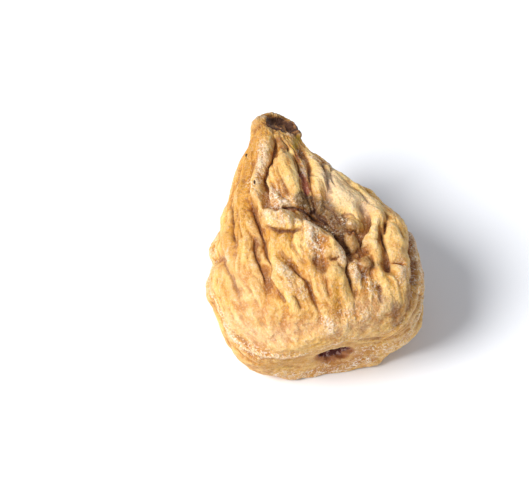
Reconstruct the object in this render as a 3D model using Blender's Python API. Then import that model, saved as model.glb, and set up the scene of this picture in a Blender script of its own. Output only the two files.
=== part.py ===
"""A dried fig: one shrivelled fruit, lying on the flattened spot of its belly with its stem end raised.

The fruit is drawn upright first: +Z runs from its eye to its stem, its front is -Y and +X is to its right.
It is then rolled and tilted into the pose it rests in, and what would lie under the surface is pressed flat.
Sizes are in millimetres until the finished mesh is scaled to metres.
"""
import math

import bmesh
import bpy
import numpy as np
from mathutils import Matrix, Vector, noise
from mathutils.bvhtree import BVHTree

METRES_PER_MM = 0.001

# The fruit's real size: from its eye to its stem end, from side to side, and from front to back.
LENGTH = 46.0
WIDTH = 38.0
DEPTH = 27.0

# The pose it rests in, how far its belly is pressed in, and how far above and below the surface the belly's
# round still leads into its flat spot.
STEM_RISE = math.radians(20.0)
ROLL = math.radians(-8.6)
PRESSED = 4.0
PRESS_ROUND = 1.0

# The mesh: meridians from eye to stem, rings between them, and how much denser than even the meridians of
# the front and the rings of the middle are.
MERIDIANS = 96
RINGS = 60
FRONT_DENSITY = 0.3
MIDDLE_DENSITY = 0.25

# The bare form, ring by ring from the eye to the stem end: the share of the way along a meridian, the
# ring's height as a share of LENGTH, its half widths to the left and right as shares of half WIDTH, its
# half depths to the front and back as shares of half DEPTH, its shift along X and Y in the same shares,
# and how far its back hangs lower, as a share of LENGTH.
FORM = (
    (0.000, 0.070, 0.000, 0.000, 0.000, 0.000, 0.013, 0.13, 0.000),
    (0.025, 0.062, 0.070, 0.070, 0.095, 0.095, 0.013, 0.13, 0.000),
    (0.045, 0.030, 0.118, 0.118, 0.160, 0.160, 0.013, 0.13, 0.000),
    (0.070, 0.004, 0.180, 0.180, 0.245, 0.255, 0.008, 0.10, 0.004),
    (0.120, -0.002, 0.400, 0.420, 0.400, 0.500, 0.000, 0.00, 0.022),
    (0.200, 0.004, 0.620, 0.670, 0.600, 0.760, 0.000, -0.02, 0.042),
    (0.280, 0.052, 0.800, 0.840, 0.800, 0.950, 0.000, 0.00, 0.048),
    (0.360, 0.135, 0.900, 0.950, 0.920, 1.050, 0.000, 0.00, 0.030),
    (0.460, 0.252, 0.940, 1.000, 0.980, 1.110, 0.000, 0.00, 0.010),
    (0.550, 0.372, 0.940, 0.980, 0.980, 1.140, 0.000, 0.00, 0.000),
    (0.630, 0.483, 0.840, 0.830, 0.900, 1.090, 0.000, 0.00, 0.000),
    (0.710, 0.598, 0.660, 0.590, 0.760, 0.880, 0.000, 0.00, 0.000),
    (0.790, 0.713, 0.470, 0.390, 0.580, 0.640, -0.020, 0.00, 0.000),
    (0.860, 0.817, 0.330, 0.280, 0.420, 0.420, -0.050, 0.00, 0.000),
    (0.920, 0.900, 0.190, 0.280, 0.310, 0.310, -0.050, 0.02, 0.000),
    (0.960, 0.975, 0.150, 0.250, 0.250, 0.270, -0.030, 0.06, 0.000),
    (1.000, 1.010, 0.000, 0.000, 0.000, 0.000, 0.010, 0.10, 0.000),
)

# Folds on the front: a name, the rise along the fold's line (below zero in a groove), its half width, the
# rise of its banks to the left and right of someone who walks along it, and the points it runs through
# as X and Z.
FRONT_FOLDS = (
    ("neck overlap", -1.1, 0.7, 0.0, 0.6,
     (-0.3, 40.5), (-0.5, 37.6), (-0.9, 36), (-1.8, 34.3), (-2.8, 32.7), (-4.1, 30.7), (-4.3, 28.4),
     (-4.7, 26.3), (-4.5, 24.2)),
    ("main overlap", -1.5, 1.0, 0.0, 1.3,
     (-4.6, 25.4), (-4.5, 24.2), (-3.5, 23.4), (-1.8, 23.2), (-0.2, 22.6), (1.0, 21.3), (2.2, 20.3),
     (3.3, 19.2), (4, 18), (4.9, 16.4), (5.5, 15), (5.9, 13.5), (5.9, 12.1), (5.3, 10.6)),
    ("tail of the overlap", -0.6, 1.0, 0.0, 0.3, (5.3, 10.6), (5.0, 9), (5.1, 8.1), (5.2, 6.6), (5.2, 5)),
    ("neck band", 0.4, 1.5, 0.0, 0.0, (-2.3, 38), (-2.9, 35.5), (-4.2, 33), (-5.3, 30), (-5.8, 27.5),
     (-5.9, 25.5)),
    ("panel", 0.8, 2.1, 0.0, 0.0, (0.3, 36), (-0.3, 33.5), (-0.4, 31), (-0.2, 28.5), (0.1, 26.5)),
    ("left shoulder groove", -0.6, 1.1, 0.0, 0.2,
     (-4.6, 36.5), (-5.6, 34.5), (-6.6, 32), (-7.2, 29.5), (-7.9, 26.5)),
    ("left groove", -1.6, 1.1, 0.4, 0.2,
     (-7.7, 27.5), (-7.3, 25.6), (-6.9, 22.6), (-6.8, 18.9), (-7.0, 16.4), (-6.8, 14.2)),
    ("left groove's branch", -1.2, 1.0, 0.2, 0.3,
     (-8.0, 20.5), (-8.6, 17.7), (-8.9, 15.4), (-8.4, 13.4), (-8.1, 11.6), (-7.9, 9.0)),
    ("hollow between the branches", -0.5, 1.0, 0.0, 0.0, (-7.7, 19.5), (-7.9, 17.5)),
    ("outer left groove", -0.6, 1.0, 0.0, 0.2, (-10.3, 30), (-10.4, 26.3), (-10.6, 23.8), (-10.8, 22)),
    ("second outer groove", -0.4, 1.0, 0.0, 0.2, (-11.6, 25.5), (-11.8, 23), (-11.8, 20.4), (-11.2, 19)),
    ("side groove", -0.4, 1.0, 0.0, 0.2, (-14.2, 20.5), (-14.2, 17.8), (-13.6, 14), (-13, 10)),
    ("left lobe", 0.9, 3.0, 0.0, 0.0, (-18, 18.6), (-18.3, 16.2), (-18, 13)),
    ("left notch", -1.0, 1.0, 0.0, 0.0, (-18, 20.8), (-16.6, 20.4), (-15.2, 19.4), (-14.2, 17.8)),
    ("panel's edge", -0.5, 0.9, 0.0, 0.0, (-3.3, 30), (-2.8, 28.4), (-2.1, 27), (-1.2, 25.8), (-0.2, 24.8)),
    ("red groove", -0.9, 1.0, 0.4, 0.5,
     (1.6, 35), (2.1, 31.8), (2.2, 29.2), (2.1, 27.2), (2.1, 25.3), (2.8, 23.8)),
    ("crown groove", -0.8, 1.0, 0.5, 0.2,
     (3.4, 37.5), (3.7, 35), (3.9, 32.8), (4.1, 31), (3.9, 29.2), (3.4, 27)),
    ("shoulder groove", -0.6, 1.0, 0.4, 0.0, (6.6, 31), (6.8, 29.3), (6.5, 27), (5.9, 24.6), (5.6, 22.6)),
    ("main pit", -2.0, 1.9, 0.0, 0.0, (2.8, 23.4), (2.8, 21.2), (3.4, 19.8)),
    ("cross crease", -0.7, 1.0, 0.4, 0.0,
     (-6.2, 20.1), (-5.2, 19.8), (-4.2, 19.4), (-3.2, 18.8), (-2, 18.4), (-1, 18.7), (-0.2, 19.6)),
    ("roll's end", 0.8, 1.2, 0.0, 0.0, (1.1, 20.6), (0.6, 18.8), (0.6, 17.1), (0.9, 15.4)),
    ("edge of the overlap", 0.5, 1.0, 0.0, 0.0,
     (3.4, 17.1), (4.3, 15.5), (4.7, 14), (4.5, 12.2), (4.3, 10.6)),
    ("hollow under the roll", -0.7, 1.2, 0.0, 0.0, (2.2, 16.8), (1.6, 14.6), (1.2, 12.4)),
    ("crease under the hollow", -0.6, 1.0, 0.0, 0.3, (0.2, 12.6), (1.2, 11.4), (2.2, 11.3), (3, 11.9)),
    ("first knob", 1.5, 1.4, 0.0, 0.0, (7.2, 18.4), (8.2, 17.9), (9.2, 17.9)),
    ("crease over the knob", -0.7, 1.0, 0.0, 0.0, (5.8, 20.6), (6.6, 20), (7.6, 20), (8.8, 19.7)),
    ("crease beside the knob", -0.7, 1.0, 0.0, 0.0, (5.7, 21.4), (5.6, 19.9), (5.8, 18.4), (6.1, 16.9)),
    ("crease under the knob", -0.9, 1.0, 0.0, 0.0, (5.6, 16.4), (6.5, 16.1), (7.8, 16.3), (9, 15.7)),
    ("second knob", 1.2, 1.2, 0.0, 0.0, (7.4, 14.8), (7.2, 13.6)),
    ("deep groove", -1.4, 1.1, 0.6, 0.0,
     (10.8, 22.5), (11, 20.8), (11.2, 18.5), (10.7, 16.9), (9.7, 15.7), (9, 14.2), (8.4, 12.8)),
    ("third knob", 1.0, 1.3, 0.0, 0.0, (8.6, 11), (8.4, 10.2)),
    ("crease round the third knob", -0.8, 1.0, 0.0, 0.0,
     (10, 13.4), (10, 11.6), (9.9, 10), (9.4, 9), (8.4, 8.4), (7, 8.8)),
    ("slant groove", -1.0, 1.0, 0.7, 0.4, (14.2, 20), (13.9, 17.7), (12.8, 15.7), (12.1, 14.1), (12, 13)),
    ("upright groove", -1.3, 1.0, 0.4, 0.2,
     (13.6, 15.4), (13, 12.9), (12.6, 11.6), (12.4, 10.4), (11.8, 8.4)),
    ("cross cut", -0.6, 1.0, 0.0, 0.0, (12.4, 10.2), (13.4, 10), (14.4, 9.9)),
    ("small pit", -0.8, 1.0, 0.0, 0.0, (9.3, 7.4), (9.7, 6.3), (9.9, 5)),
    ("rim groove", -1.3, 1.1, 0.3, 0.4,
     (17.8, 20), (17.9, 17.6), (17.4, 14.6), (16.8, 11.8), (16.6, 10), (15.9, 7.8), (15.2, 6.1),
     (14.6, 4.4)),
    ("centre groove", -0.7, 1.0, 0.2, 0.2,
     (-3.9, 15), (-3.4, 13.2), (-2.9, 11.9), (-2.1, 10.2), (-1.7, 8.3), (-1.5, 6.4), (-0.9, 5)),
    ("short groove", -0.4, 1.0, 0.0, 0.2, (-3.9, 8.6), (-3.6, 7), (-3.2, 5.6)),
    ("second short groove", -0.4, 1.0, 0.0, 0.2, (-6.6, 9.6), (-6.2, 7.6), (-5.8, 6)),
    ("long left rib", 0.6, 1.4, 0.0, 0.0, (-5.2, 15), (-5.4, 12), (-4.8, 9), (-4.6, 6)),
    ("rim of the base", 0.6, 1.2, 0.0, 0.0, (-11, 1.8), (-7, 1), (-2, 1.3), (3, 1.9), (8, 2.6), (12, 3.4)),
)

# Broad rises and hollows on the front: a name, the place as X and Z, the radius and the rise.
FRONT_SWELLS = (
    ("valley", 2.4, 21.5, 5.0, -1.3),
    ("foot of the panel", -2.4, 25.4, 2.6, -0.5),
    ("shoulder", 9.4, 25.0, 4.5, 0.8),
    ("knobs' hollow", 8.6, 14.0, 4.5, -1.0),
    ("belly", -1.0, 11.0, 7.0, 0.6),
    ("right cheek", 13.0, 6.0, 4.0, 0.6),
    ("left cheek", -15.4, 23.4, 2.6, 0.9),
)

# How far a fold's bank stands from its line and how far a fold keeps wrinkles away, in its half widths,
# the share of its length over which it sets in at each end, and the share of its rise at the ends.
BANK = 1.7
KEPT_CLEAR = 2.2
FOLD_SETS_IN = 0.15
FOLD_END = 0.3

# Wrinkles that run from eye to stem all round: how many, how long, how deep and how far they wander in
# radians, how much closer a second, finer set lies round and along the fruit, how deep it is beside the
# first, and the middle height of the folded noise that both come from.
WRINKLES_ROUND = 30
WRINKLE_LENGTH = 19.0
WRINKLE_DEPTH = 2.8
WRINKLE_WANDER = 0.28
FINER_ROUND = 1.9
FINER_ALONG = 1.6
FINER_DEPTH = 0.45
NOISE_MIDDLE = 0.35

# How quickly the wander changes round and along the fruit, and the places in the noise of the wander and
# of the finer set.
WANDER_ROUND = 2.0
WANDER_ALONG = 1.7
WANDER_PLACE = 5.0
FINER_PLACE = 9.0

# How much shallower the wrinkles are on the front, at a fold and on the neck, and where they set in and
# the neck starts, as shares of the way from eye to stem. The front's edge is a cosine of the turn.
FRONT_CALM = 0.65
FOLD_CALM = 0.75
NECK_CALM = 0.95
WRINKLES_START = (0.10, 0.38)
NECK_STARTS = (0.78, 0.94)
FRONT_EDGE = (0.1, 0.7)

# Slow swells that keep the form from being even, and their place in the noise.
SWELL_SIZE = 11.0
SWELL_HEIGHT = 0.8
SWELL_PLACE = 3.0

# The shares of the way from the eye over which the relief sets in, and from the stem over which it ends.
RELIEF_STARTS = (0.05, 0.14)
RELIEF_ENDS = (0.0, 0.04)

# The stem was broken off on a slant: the height of the break's plane over the middle, its fall to the
# right and its rise to the back, the hollow that the dried pith leaves in it with the share of its radius
# that is flat, and the share of the round end's bulge that is left.
BREAK_HEIGHT = 45.1
BREAK_FALL_RIGHT = 1.1
BREAK_RISE_BACK = 1.2
PITH_CENTRE = (1.3, -0.9)
PITH_RADIUS = 3.4
PITH_HOLLOW = 1.3
PITH_FLOOR = 0.3
BREAK_BULGE = 0.12


def smooth_through(rows, share):
    """The row at each share of the way, on a smooth curve through the given rows."""
    rows = np.array(rows)
    at = rows[:, 0]
    slopes = np.gradient(rows[:, 1:], at, axis=0)
    k = np.clip(np.searchsorted(at, share, side="right") - 1, 0, len(at) - 2)
    step = (at[k + 1] - at[k])[:, None]
    t = (share - at[k])[:, None] / step
    low, high = rows[k, 1:], rows[k + 1, 1:]
    blend = t * t * (3 - 2 * t)
    bend = slopes[k] * t * (1 - t) ** 2 - slopes[k + 1] * t * t * (1 - t)
    return low + (high - low) * blend + step * bend


def smooth_step(low, high, value):
    t = np.clip((value - low) / (high - low), 0, 1)
    return t * t * (3 - 2 * t)


def bare_form():
    """A sphere of meridians and rings, drawn out to the fruit's bare form. It also gives each vertex's turn
    round the fruit, from zero at the front, and its share of the way from eye to stem."""
    mesh = bmesh.new()
    bmesh.ops.create_uvsphere(mesh, u_segments=MERIDIANS, v_segments=RINGS, radius=1.0)
    way = np.array([v.co for v in mesh.verts])
    share = 1 - np.arccos(np.clip(way[:, 2], -1, 1)) / math.pi
    share += MIDDLE_DENSITY * np.sin(2 * math.pi * share) / (2 * math.pi)
    turn = np.arctan2(way[:, 0], -way[:, 1])
    turn = turn - FRONT_DENSITY * np.sin(turn)
    height, left, right, front, back, shift_x, shift_y, heel = smooth_through(FORM, share).T
    across, ahead = np.sin(turn), np.cos(turn)
    x = (np.where(across > 0, right, left) * across + shift_x) * WIDTH / 2
    y = (shift_y - np.where(ahead > 0, front, back) * ahead) * DEPTH / 2
    z = (height - heel * np.clip(-ahead, 0, 1)) * LENGTH
    move_to(mesh, np.stack([x, y, z], axis=1))
    return mesh, turn, share


def move_to(mesh, places):
    for vertex, place in zip(mesh.verts, places):
        vertex.co = place
    mesh.normal_update()


def on_front(tree, x, z):
    """The point of the bare form's front at X and Z, or the nearest one where the form is narrower."""
    start = Vector((x, -2 * DEPTH, z))
    hit = tree.ray_cast(start, Vector((0, 1, 0)))[0]
    return hit if hit is not None else tree.find_nearest(Vector((x, 0, z)))[0]


def rounded_path(points, steps=6):
    """A smooth path through the points, as its own closely spaced points."""
    points = np.array(points, float)
    if len(points) < 3:
        return points
    at = np.arange(len(points), dtype=float)
    rows = np.column_stack([at, points])
    return smooth_through(rows, np.linspace(0, at[-1], steps * (len(points) - 1) + 1))


def away_from_path(places, normals, path):
    """Each place's distance from a path, its side of it (above zero on the left of someone who walks along
    the path on the skin), and how far along the path its nearest point is, from 0 to 1."""
    starts, runs = path[:-1], np.diff(path, axis=0)
    lengths = np.linalg.norm(runs, axis=1)
    passed = np.concatenate([[0], np.cumsum(lengths)])
    best = np.full(len(places), np.inf)
    side = np.zeros(len(places))
    along = np.zeros(len(places))
    for start, run, length, before in zip(starts, runs, lengths, passed):
        t = np.clip((places - start) @ run / length**2, 0, 1)
        off = places - start - t[:, None] * run
        distance = np.linalg.norm(off, axis=1)
        nearer = distance < best
        best[nearer] = distance[nearer]
        side[nearer] = np.einsum("ij,ij->i", np.cross(normals, run / length), off)[nearer]
        along[nearer] = (before + t[nearer] * length) / passed[-1]
    return best, side, along


def front_folds(places, normals, tree):
    """The height of the hand-placed folds of the front, and how much of the surface they have taken."""
    height = np.zeros(len(places))
    taken = np.zeros(len(places))
    for _, rise, half_width, left_bank, right_bank, *points in FRONT_FOLDS:
        path = np.array([on_front(tree, x, z) for x, z in rounded_path(points)])
        distance, side, along = away_from_path(places, normals, path)
        fade = smooth_step(0, FOLD_SETS_IN, along) * smooth_step(0, FOLD_SETS_IN, 1 - along)
        near = distance / half_width
        bank = np.where(side > 0, left_bank, right_bank) * (near / BANK) * np.exp(1 - near / BANK)
        height += (FOLD_END + (1 - FOLD_END) * fade) * rise * np.exp(-near**2) + fade * bank
        taken = np.maximum(taken, np.exp(-((near / KEPT_CLEAR) ** 2)))
    return height, taken


def front_swells(places, tree):
    height = np.zeros(len(places))
    for _, x, z, radius, rise in FRONT_SWELLS:
        away = np.linalg.norm(places - np.array(on_front(tree, x, z)), axis=1)
        height += rise * np.exp(-((away / radius) ** 2))
    return height


def noise_at(places):
    return np.array([noise.noise(Vector(place)) for place in places])


def wrinkles(places, turn, share):
    """Rounded folds with sharp valleys that run from eye to stem and wander a little."""
    round_radius = WRINKLES_ROUND / (2 * math.pi)
    z = places[:, 2] / WRINKLE_LENGTH
    circle = np.column_stack([np.sin(turn), np.cos(turn)])
    wander = noise_at(np.column_stack([WANDER_ROUND * circle, WANDER_ALONG * z + WANDER_PLACE]))
    turned = turn + WRINKLE_WANDER * wander
    ring = np.column_stack([np.sin(turned), np.cos(turned)]) * round_radius
    coarse = np.abs(noise_at(np.column_stack([ring, z])))
    fine = np.abs(noise_at(np.column_stack([FINER_ROUND * ring, FINER_ALONG * z + FINER_PLACE])))
    depth = WRINKLE_DEPTH * smooth_step(*WRINKLES_START, share)
    depth *= 1 - NECK_CALM * smooth_step(*NECK_STARTS, share)
    depth *= 1 - FRONT_CALM * smooth_step(*FRONT_EDGE, np.cos(turn))
    return depth * (coarse + FINER_DEPTH * fine - NOISE_MIDDLE)


def swells(places):
    return SWELL_HEIGHT * noise_at(places / SWELL_SIZE + SWELL_PLACE)


def break_height(x, y):
    return BREAK_HEIGHT - BREAK_FALL_RIGHT * x + BREAK_RISE_BACK * y


def break_stem(places):
    """Presses what stands beyond the slanting break back onto it, and hollows the break."""
    facing = np.array(Vector((BREAK_FALL_RIGHT, -BREAK_RISE_BACK, 1)).normalized())
    pith = np.array([*PITH_CENTRE, break_height(*PITH_CENTRE)])
    beyond = (places - pith) @ facing
    flattened = places - (1 - BREAK_BULGE) * beyond[:, None] * facing
    radius = np.linalg.norm(flattened - pith, axis=1) / PITH_RADIUS
    hollow = PITH_HOLLOW * (1 - smooth_step(PITH_FLOOR, 1.0, radius))
    return np.where(beyond[:, None] > 0, flattened - hollow[:, None] * facing, places)


def shrivel(mesh, turn, share):
    """Raises the folds and wrinkles on the bare form."""
    places = np.array([v.co for v in mesh.verts])
    normals = np.array([v.normal for v in mesh.verts])
    tree = BVHTree.FromBMesh(mesh)
    folds, taken = front_folds(places, normals, tree)
    relief = folds + front_swells(places, tree) + swells(places)
    relief += (1 - FOLD_CALM * taken) * wrinkles(places, turn, share)
    relief *= smooth_step(*RELIEF_STARTS, share) * smooth_step(*RELIEF_ENDS, 1 - share)
    move_to(mesh, break_stem(places + normals * relief[:, None]))


def at_rest(mesh):
    """Tilts the fruit into the pose it rests in and presses its underside flat at Z = 0."""
    pose = Matrix.Rotation(STEM_RISE - math.pi / 2, 4, "X") @ Matrix.Rotation(ROLL, 4, "Z")
    bmesh.ops.transform(mesh, matrix=pose, verts=mesh.verts)
    places = np.array([v.co for v in mesh.verts])
    low, high = places.min(0), places.max(0)
    middle = (low + high) / 2
    places -= (middle[0], middle[1], low[2] + PRESSED)
    rounded = np.clip(places[:, 2] + PRESS_ROUND, 0, 2 * PRESS_ROUND)
    places[:, 2] = rounded**2 / (4 * PRESS_ROUND) + np.maximum(places[:, 2] - PRESS_ROUND, 0)
    move_to(mesh, places)


def skin_material():
    material = bpy.data.materials.new("dried_fig_skin")
    material.use_nodes = True
    shader = material.node_tree.nodes["Principled BSDF"]
    shader.inputs["Base Color"].default_value = (0.60, 0.36, 0.13, 1.0)
    shader.inputs["Roughness"].default_value = 0.62
    shader.inputs["Metallic"].default_value = 0.0
    return material


def main():
    for old in list(bpy.data.objects):
        bpy.data.objects.remove(old)
    mesh, turn, share = bare_form()
    shrivel(mesh, turn, share)
    at_rest(mesh)
    bmesh.ops.scale(mesh, vec=(METRES_PER_MM,) * 3, verts=mesh.verts)
    data = bpy.data.meshes.new("dried_fig")
    mesh.to_mesh(data)
    mesh.free()
    data.shade_smooth()
    fig = bpy.data.objects.new("dried_fig", data)
    fig.data.materials.append(skin_material())
    bpy.context.scene.collection.objects.link(fig)


main()
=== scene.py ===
"""A dried fig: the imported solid, dressed with the skin's creases, fine wrinkles, colours and sugar bloom."""
import math

import bmesh
import bpy
import numpy as np
from mathutils import Matrix, Vector, noise
from mathutils.bvhtree import BVHTree


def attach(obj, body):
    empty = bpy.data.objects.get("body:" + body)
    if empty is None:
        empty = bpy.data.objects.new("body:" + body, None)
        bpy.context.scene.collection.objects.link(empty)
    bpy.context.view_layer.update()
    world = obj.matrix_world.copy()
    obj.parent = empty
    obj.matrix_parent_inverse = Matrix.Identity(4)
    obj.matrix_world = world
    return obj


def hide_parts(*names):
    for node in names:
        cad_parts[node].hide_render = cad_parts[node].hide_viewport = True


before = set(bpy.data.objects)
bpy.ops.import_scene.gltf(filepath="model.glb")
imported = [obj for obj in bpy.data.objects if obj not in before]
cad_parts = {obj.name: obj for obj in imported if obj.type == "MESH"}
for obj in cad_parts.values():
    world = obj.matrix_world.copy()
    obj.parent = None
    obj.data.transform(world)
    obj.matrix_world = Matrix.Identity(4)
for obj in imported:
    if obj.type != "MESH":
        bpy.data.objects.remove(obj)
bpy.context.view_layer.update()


# The view
# The camera looks down at the fruit's front from about fifty degrees above the surface and a little from
# its left, through a long lens that hardly draws it out of shape.
LENS = 100.0
SENSOR = 36.0
AZIMUTH = math.radians(-14.46)
ELEVATION = math.radians(50.17)
DISTANCE = 0.257
LOOKED_AT = Vector((-0.00696, 0.00076, 0.01551))
PHOTO_WIDTH = 529
PHOTO_HEIGHT = 483

view_right = Vector((math.cos(AZIMUTH), math.sin(AZIMUTH), 0))
view_back = Vector((math.sin(AZIMUTH), -math.cos(AZIMUTH), 0)) * math.cos(ELEVATION)
view_back += Vector((0, 0, math.sin(ELEVATION)))
view_up = view_back.cross(view_right)

camera_data = bpy.data.cameras.new("camera")
camera_data.lens = LENS
camera_data.sensor_width = SENSOR
camera = bpy.data.objects.new("camera", camera_data)
camera.location = LOOKED_AT + DISTANCE * view_back
camera.rotation_euler = (math.pi / 2 - ELEVATION, 0, AZIMUTH)
bpy.context.scene.collection.objects.link(camera)
bpy.context.scene.camera = camera


def seen_through(x, y):
    """The way from the camera through a pixel of the photograph."""
    across = view_right * (x - PHOTO_WIDTH / 2) + view_up * (PHOTO_HEIGHT / 2 - y)
    return (across - view_back * PHOTO_WIDTH * LENS / SENSOR).normalized()


# The skin
# One tough skin, which sank into folds as the flesh under it dried and shrank. It creased sharply in their
# valleys and wrinkled finely between them, in lines that run from the stem to the eye. It is made from a
# smoothed copy of the solid, in millimetres until it is done.
MM = 0.001
MERGED = 1e-6
SMOOTHINGS = 2

# Smoothing takes the folds' crests down, so the solid's points are first moved the other way, a few times
# over and by SHARPENED_MOST at most. This and the wrinkles grow from nothing to their whole size between
# two heights over the surface that the fruit lies on, so that the flat spot under it stays flat.
SHARPENINGS = 3
SHARPENED_MOST = 0.7
SHARPENED_FROM = (0.2, 1.5)
WRINKLED_FROM = (0.1, 1.2)

# The fruit's own axes: the place of the middle of its eye, and how it was tilted and rolled to lie at rest.
EYE_PLACE = np.array((-0.42, -20.57, 8.81))
STEM_RISE = math.radians(20.0)
ROLL = math.radians(-8.6)
own_axes = np.array(Matrix.Rotation(STEM_RISE - math.pi / 2, 3, "X") @ Matrix.Rotation(ROLL, 3, "Z"))


def smooth_step(low, high, value):
    """From 0 at low to 1 at high, smoothly. Low may be the larger one."""
    t = np.clip((value - low) / (high - low), 0, 1)
    return t * t * (3 - 2 * t)


def noise_at(points):
    return np.array([noise.noise(point) for point in points.tolist()])


def coordinates(mesh):
    flat = np.empty(3 * len(mesh.vertices), np.float32)
    mesh.vertices.foreach_get("co", flat)
    return flat.reshape(-1, 3).astype(float)


def normals_of(mesh, mesh_places):
    mesh.vertices.foreach_set("co", mesh_places.astype(np.float32).ravel())
    mesh.update()
    flat = np.empty(3 * len(mesh_places), np.float32)
    mesh.vertices.foreach_get("normal", flat)
    return flat.reshape(-1, 3).astype(float)


def smoothed(points):
    """The smooth skin that the cage of few faces gives with its points there."""
    cage.vertices.foreach_set("co", points.astype(np.float32).ravel())
    cage.update()
    bpy.context.view_layer.update()
    return bpy.data.meshes.new_from_object(cage_object.evaluated_get(bpy.context.evaluated_depsgraph_get()))


few_faces = bmesh.new()
few_faces.from_mesh(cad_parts["dried_fig"].data)
bmesh.ops.remove_doubles(few_faces, verts=few_faces.verts, dist=MERGED)
bmesh.ops.join_triangles(
    few_faces, faces=few_faces.faces, angle_face_threshold=math.pi, angle_shape_threshold=math.pi
)
bmesh.ops.scale(few_faces, vec=(1 / MM,) * 3, verts=few_faces.verts)
cage = bpy.data.meshes.new("skin_cage")
few_faces.to_mesh(cage)
few_faces.free()
cage_object = bpy.data.objects.new("skin_cage", cage)
bpy.context.scene.collection.objects.link(cage_object)
smoothing = cage_object.modifiers.new("smoothing", "SUBSURF")
smoothing.levels = smoothing.render_levels = SMOOTHINGS

solid_places = coordinates(cage)
moved_places = solid_places.copy()
sharpened_here = smooth_step(*SHARPENED_FROM, solid_places[:, 2])[:, None]
for _ in range(SHARPENINGS):
    softened = coordinates(smoothed(moved_places))[:len(solid_places)]
    lost = moved_places - softened
    length = np.linalg.norm(lost, axis=1)[:, None]
    lost *= SHARPENED_MOST / np.maximum(length, SHARPENED_MOST)
    moved_places = solid_places + lost * sharpened_here
skin = smoothed(moved_places)
skin.name = "dried_fig_skin"
bpy.data.objects.remove(cage_object)

places = coordinates(skin)
normals = normals_of(skin, places)
ends = np.empty(2 * len(skin.edges), np.int32)
skin.edges.foreach_get("vertices", ends)
ends = ends.reshape(-1, 2)
neighbours = np.bincount(ends.ravel(), minlength=len(places))[:, None]
above_flat_spot = smooth_step(*WRINKLED_FROM, places[:, 2])

bare = bmesh.new()
bare.from_mesh(skin)
bare_skin = BVHTree.FromBMesh(bare)
bare.free()


def evened(values, rounds):
    """Values spread over their neighbours on the skin, round after round."""
    for _ in range(rounds):
        gathered = np.stack([
            np.bincount(ends[:, 0], column[ends[:, 1]], len(column))
            + np.bincount(ends[:, 1], column[ends[:, 0]], len(column))
            for column in values.T
        ], axis=1)
        values = (values + gathered / neighbours) / 2
    return values


def seen_at(x, y):
    """The place on the skin that the photograph shows at a pixel."""
    lens_place = camera.location / MM
    way = seen_through(x, y)
    hit = bare_skin.ray_cast(lens_place, way)[0]
    if hit is None:
        hit = bare_skin.find_nearest(lens_place + way * (LOOKED_AT / MM - lens_place).dot(way))[0]
    return np.array(hit)


# A line on the skin has LINE_STEPS steps from pixel to pixel. A step of more than JUMP millimetres is a jump
# between folds, and one of less than SAME_PLACE is left out.
LINE_STEPS = 5
JUMP = 1.5
JUMP_EVENINGS = 14
SAME_PLACE = 0.02


def drawn_through(pixels):
    """A smooth line on the skin through given pixels of the photograph. One that would jump over the
    edge of a fold to the next is evened out."""
    pixels = np.array(pixels, float)
    slopes = np.gradient(pixels, axis=0)
    line = []
    for k in range(len(pixels) - 1):
        for t in np.arange(LINE_STEPS) / LINE_STEPS:
            bend = slopes[k] * t * (1 - t) ** 2 - slopes[k + 1] * t * t * (1 - t)
            line.append(pixels[k] + (pixels[k + 1] - pixels[k]) * t * t * (3 - 2 * t) + bend)
    line.append(pixels[-1])
    line = np.array([seen_at(x, y) for x, y in line])
    if np.linalg.norm(np.diff(line, axis=0), axis=1).max() > JUMP:
        for _ in range(JUMP_EVENINGS):
            line[1:-1] = (line[:-2] + 2 * line[1:-1] + line[2:]) / 4
        line = np.array([bare_skin.find_nearest(place)[0] for place in line])
    moved = np.linalg.norm(np.diff(line, axis=0), axis=1) > SAME_PLACE
    return line[np.concatenate([[True], moved])]


def beside(line, reach):
    """The skin's places within reach of a line: which they are, how they lie off its nearest point, which
    way the line runs there, and how far along it they are, from 0 to 1."""
    low, high = line.min(0) - reach, line.max(0) + reach
    found = np.flatnonzero(((places > low) & (places < high)).all(1))
    runs = np.diff(line, axis=0)
    lengths = np.linalg.norm(runs, axis=1)
    passed = np.concatenate([[0], np.cumsum(lengths)])
    off = places[found][:, None] - line[:-1]
    t = np.clip(np.einsum("nmk,mk->nm", off, runs) / lengths**2, 0, 1)
    off -= t[:, :, None] * runs
    nearest = np.linalg.norm(off, axis=2).argmin(1)
    rows = np.arange(len(found))
    along = (passed[nearest] + t[rows, nearest] * lengths[nearest]) / passed[-1]
    return found, off[rows, nearest], runs[nearest] / lengths[nearest, None], along


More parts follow.
